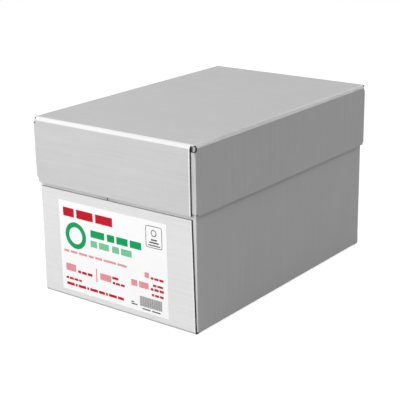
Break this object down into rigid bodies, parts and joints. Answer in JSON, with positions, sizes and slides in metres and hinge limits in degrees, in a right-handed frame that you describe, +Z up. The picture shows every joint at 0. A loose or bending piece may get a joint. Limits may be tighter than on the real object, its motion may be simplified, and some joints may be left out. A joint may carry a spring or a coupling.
{
  "type": "two-piece carton of copy paper",
  "caption": "Telescoping corrugated carton, a deep tray under a shallow lift-off lid, packed with wrapped reams of letter-size copy paper.",
  "frame": {"origin": "centre of the underside, where the carton stands on the floor", "axes": "+Z up, -Y towards the labelled end, +Y along the long walls, +X to the right seen from the label"},
  "size_m": [0.2976, 0.4536, 0.272],
  "materials": {
    "tray_board": "matte light grey printed liner",
    "lid_board": "matte light grey printed liner",
    "label_paper": "smooth white paper",
    "ream_wrap": "satin white wrapper"
  },
  "bodies": {
    "tray": {"tray": "tray_board", "label": "label_paper", "ream_01": "ream_wrap", "ream_02": "ream_wrap", "ream_03": "ream_wrap", "ream_04": "ream_wrap", "ream_05": "ream_wrap", "ream_06": "ream_wrap", "ream_07": "ream_wrap", "ream_08": "ream_wrap", "ream_09": "ream_wrap", "ream_10": "ream_wrap"},
    "lid": {"lid": "lid_board"}
  },
  "joints": [
    {"name": "lid_lift", "type": "slide", "parent": "tray", "child": "lid", "axis": [0, 0, 1], "range_m": [0, 0.15]}
  ]
}
